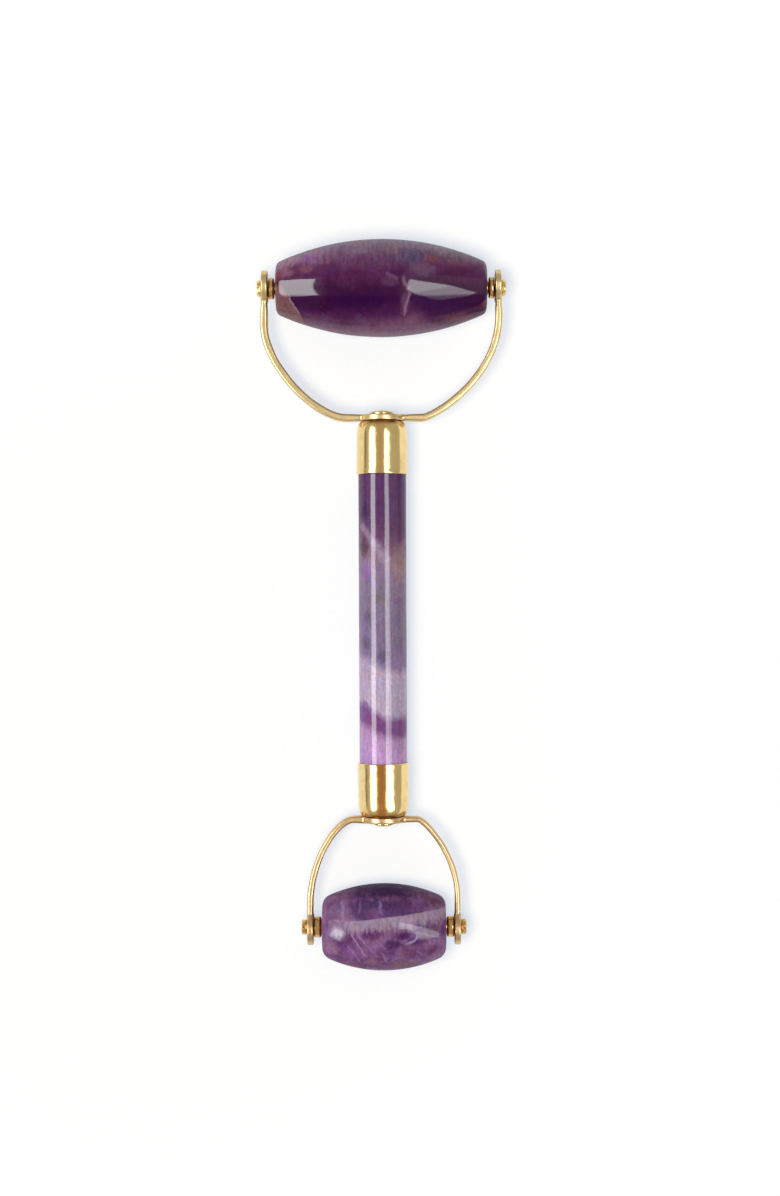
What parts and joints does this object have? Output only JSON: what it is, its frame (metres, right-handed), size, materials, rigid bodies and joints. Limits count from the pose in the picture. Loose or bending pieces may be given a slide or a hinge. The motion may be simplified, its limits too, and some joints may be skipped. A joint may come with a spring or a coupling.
{
  "type": "gemstone face roller",
  "caption": "Double-ended facial massage roller: a polished stone handle with a barrel stone roller turning in a swivelling brass fork at each end.",
  "frame": {"origin": "on the handle's axis, halfway along the whole tool", "axes": "+Y along the handle towards the large roller, +X along the roller axles, +Z out of the plane of the forks"},
  "size_m": [0.0498, 0.146, 0.0194],
  "materials": {
    "amethyst": "polished banded stone",
    "pale_amethyst": "polished banded stone",
    "brass": "polished gold-coloured plating, slightly uneven",
    "steel": "plain turned",
    "resin": "cured adhesive"
  },
  "bodies": {
    "handle": {"handle_rod": "pale_amethyst", "large_ferrule": "brass", "small_ferrule": "brass", "large_swivel_rivet": "brass", "small_swivel_rivet": "brass", "large_backing_washer": "steel", "small_backing_washer": "steel", "large_adhesive_plug": "resin", "small_adhesive_plug": "resin"},
    "large_yoke": {"large_fork": "brass", "large_axle": "steel", "large_left_screw": "brass", "large_right_screw": "brass", "large_left_spacer": "brass", "large_right_spacer": "brass"},
    "large_roller": {"large_stone": "amethyst", "large_left_bush": "brass", "large_right_bush": "brass"},
    "small_yoke": {"small_fork": "brass", "small_axle": "steel", "small_left_screw": "brass", "small_right_screw": "brass", "small_left_spacer": "brass", "small_right_spacer": "brass"},
    "small_roller": {"small_stone": "amethyst", "small_left_bush": "brass", "small_right_bush": "brass"}
  },
  "joints": [
    {"name": "large_fork_swivel", "type": "hinge", "parent": "handle", "child": "large_yoke", "pos_m": [0, 0.03742, 0], "axis": [0, 1, 0], "continuous": true},
    {"name": "large_roller_spin", "type": "hinge", "parent": "large_yoke", "child": "large_roller", "pos_m": [0, 0.06332, 0], "axis": [1, 0, 0], "continuous": true},
    {"name": "small_fork_swivel", "type": "hinge", "parent": "handle", "child": "small_yoke", "pos_m": [0, -0.04282, 0], "axis": [0, -1, 0], "continuous": true},
    {"name": "small_roller_spin", "type": "hinge", "parent": "small_yoke", "child": "small_roller", "pos_m": [0, -0.06438, 0], "axis": [1, 0, 0], "continuous": true}
  ]
}
